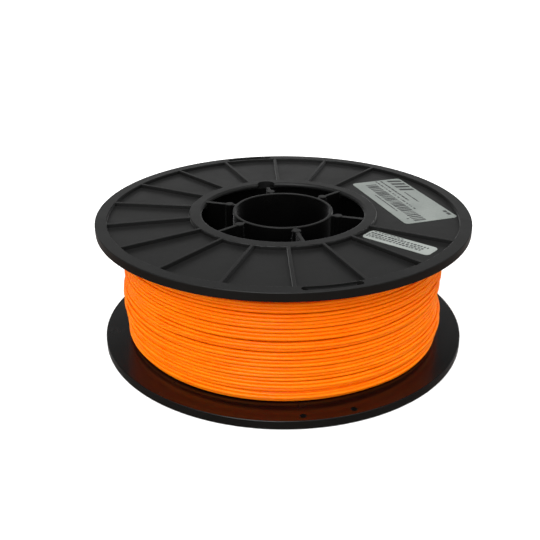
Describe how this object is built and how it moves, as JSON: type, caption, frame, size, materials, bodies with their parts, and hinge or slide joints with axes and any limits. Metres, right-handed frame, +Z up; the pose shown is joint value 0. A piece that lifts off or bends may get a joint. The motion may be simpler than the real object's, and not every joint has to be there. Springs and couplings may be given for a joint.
{
  "type": "filament spool",
  "caption": "Flanged plastic spool with ribbed faces, open spoked hub and spindle bore, wound full of round filament.",
  "frame": {"origin": "centre of the lower flange's outer face, on the spool's axis, in the plane that the spool rests on", "axes": "+Z up along the spool's axis; +X and +Y lie in the rest plane, with the product label on the +X side"},
  "size_m": [0.2, 0.2, 0.071],
  "materials": {
    "spool_plastic": "moulded black plastic, satin flange faces with a soft sheen",
    "filament": "bright orange extruded filament, soft gloss along each strand",
    "label": "silver-grey printed film, matte"
  },
  "bodies": {
    "root": {"upper_half": "spool_plastic", "lower_half": "spool_plastic", "filament_winding": "filament", "filament_end": "filament", "product_label": "label", "batch_label": "label"}
  },
  "joints": []
}
